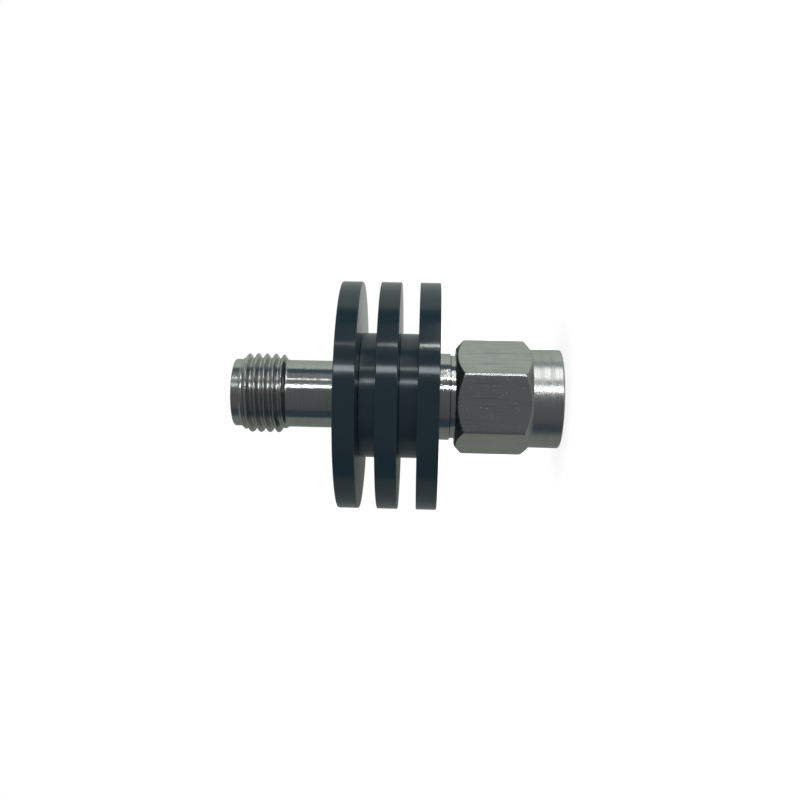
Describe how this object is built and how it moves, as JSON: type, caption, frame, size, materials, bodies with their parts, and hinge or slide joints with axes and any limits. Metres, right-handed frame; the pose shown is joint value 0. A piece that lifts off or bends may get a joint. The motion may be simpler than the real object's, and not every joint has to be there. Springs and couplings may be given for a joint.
{
  "type": "rf attenuator",
  "caption": "In-line coaxial attenuator: round-finned black heat sink between a threaded jack and a plug with a hexagon coupling nut that turns freely.",
  "frame": {"origin": "centre of the coupling nut's front face, on the coaxial axis, where the part stands", "axes": "+Z along the coaxial axis from the plug up to the jack; X and Y across it"},
  "size_m": [0.018, 0.018, 0.0258],
  "materials": {
    "black_anodised": "turned, black anodised, semi-gloss",
    "stainless_steel": "turned, nut flats brushed lengthwise",
    "ptfe": "machined, matt",
    "gold_plate": "gold plated, bright",
    "silicone": "moulded, matt",
    "spring_bronze": "rolled strip",
    "plated_brass": "milled and plated",
    "alumina": "fired plate with a printed resistor film"
  },
  "bodies": {
    "attenuator_body": {"heat_sink": "black_anodised", "jack_shell": "stainless_steel", "jack_dielectric": "ptfe", "jack_contact": "gold_plate", "plug_shell": "stainless_steel", "plug_dielectric": "ptfe", "plug_pin": "gold_plate", "face_gasket": "silicone", "front_chip_carrier": "plated_brass", "rear_chip_carrier": "plated_brass", "attenuator_chip": "alumina"},
    "snap_ring": {"snap_ring": "spring_bronze"},
    "coupling_nut": {"coupling_nut": "stainless_steel"}
  },
  "joints": [
    {"name": "nut_float", "type": "slide", "parent": "attenuator_body", "child": "snap_ring", "axis": [0, 0, -1], "range_m": [0, 0.0003]},
    {"name": "nut_spin", "type": "hinge", "parent": "snap_ring", "child": "coupling_nut", "pos_m": [0, 0, 0.00413], "axis": [0, 0, 1], "continuous": true}
  ]
}
